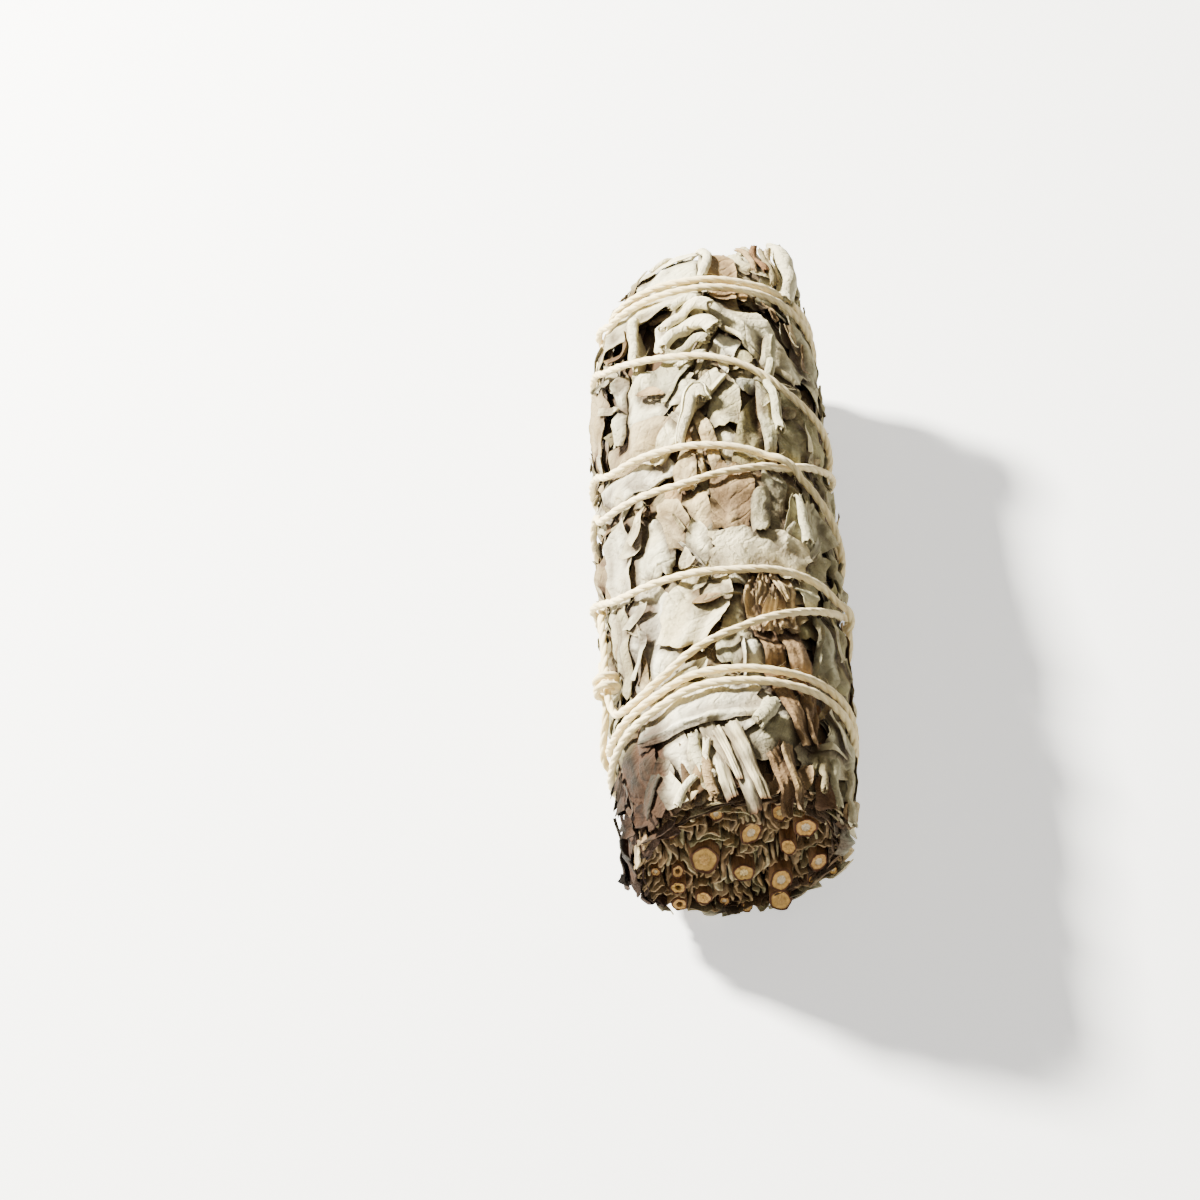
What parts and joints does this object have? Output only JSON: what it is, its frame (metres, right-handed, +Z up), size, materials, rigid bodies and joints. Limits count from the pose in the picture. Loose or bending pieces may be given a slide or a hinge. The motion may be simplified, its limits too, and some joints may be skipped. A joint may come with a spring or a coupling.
{
  "type": "sage smudge stick",
  "caption": "Round bundle of dried white sage leaves and woody stalks, cut square at one end and bound lengthwise with knotted cotton twine.",
  "frame": {"origin": "on the surface that the bundle lies on, under the middle of its length", "axes": "+Y from the cut end to the leafy tip, +Z up"},
  "size_m": [0.0405, 0.105, 0.0371],
  "materials": {
    "dried_leaf": "dry matt felted leaf, grey-green to cream",
    "brown_leaf": "dry matt browned leaf with raised veins",
    "woody_stalk": "cut twig, fibrous bark and tan pith",
    "leaf_stalk": "pale dry leaf stalk, matt",
    "cotton_twine": "three-ply unbleached cotton, matt and a little fuzzy"
  },
  "bodies": {
    "root": {"brown_leaf_1": "brown_leaf", "brown_leaf_2": "brown_leaf", "brown_leaf_3": "brown_leaf", "brown_leaf_4": "brown_leaf", "flower_twig": "brown_leaf", "leaf_bundle": "dried_leaf", "leaf_stalk_fork": "leaf_stalk", "stalk_01": "woody_stalk", "stalk_02": "woody_stalk", "stalk_03": "woody_stalk", "stalk_04": "woody_stalk", "stalk_05": "woody_stalk", "stalk_06": "woody_stalk", "stalk_07": "woody_stalk", "stalk_08": "woody_stalk", "stalk_09": "woody_stalk", "stalk_10": "woody_stalk", "stalk_11": "woody_stalk", "stalk_12": "woody_stalk", "stalk_13": "woody_stalk", "stalk_14": "woody_stalk", "stalk_15": "woody_stalk", "stalk_16": "woody_stalk", "stalk_17": "woody_stalk", "stalk_18": "woody_stalk", "stalk_19": "woody_stalk", "stalk_20": "woody_stalk", "stalk_21": "woody_stalk", "stalk_22": "woody_stalk", "tip_stalk_1": "woody_stalk", "tip_stalk_2": "woody_stalk", "tip_stalk_3": "woody_stalk", "twine": "cotton_twine"}
  },
  "joints": []
}
